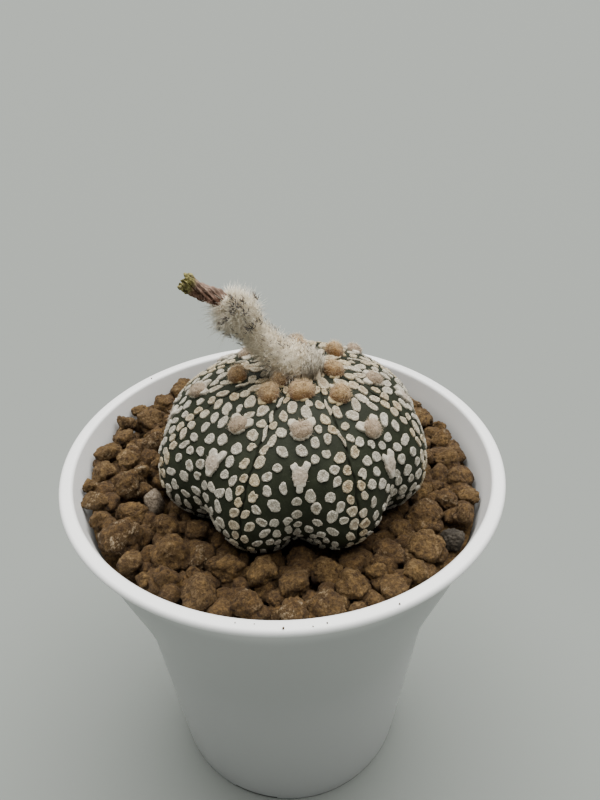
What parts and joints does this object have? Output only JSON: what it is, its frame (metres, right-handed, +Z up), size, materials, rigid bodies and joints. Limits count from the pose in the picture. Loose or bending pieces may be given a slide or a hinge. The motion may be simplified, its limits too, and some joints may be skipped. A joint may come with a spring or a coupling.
{
  "type": "potted star cactus",
  "caption": "Small star cactus with white woolly flecks and a dried flower, set in coarse granular soil in a round white plastic pot with a flared rim.",
  "frame": {"origin": "on the pot's axis, in the plane that the foot ring stands on", "axes": "+Z up along the pot's axis, -Y towards the plant's front rib, +X to the right of it"},
  "size_m": [0.1, 0.1, 0.14],
  "materials": {
    "white_plastic": "smooth, slightly satin",
    "clay_granules": "rough, porous and dry",
    "pale_stone": "matte",
    "dark_stone": "matte",
    "cactus_skin": "waxy matte skin with white woolly flecks",
    "flower_wool": "woolly",
    "dried_petal": "dry and wrinkled"
  },
  "bodies": {
    "root": {"pot": "white_plastic", "soil": "clay_granules", "pale_stone": "pale_stone", "dark_stone": "dark_stone", "cactus": "cactus_skin", "flower_tube": "flower_wool", "dried_petals": "dried_petal"}
  },
  "joints": []
}
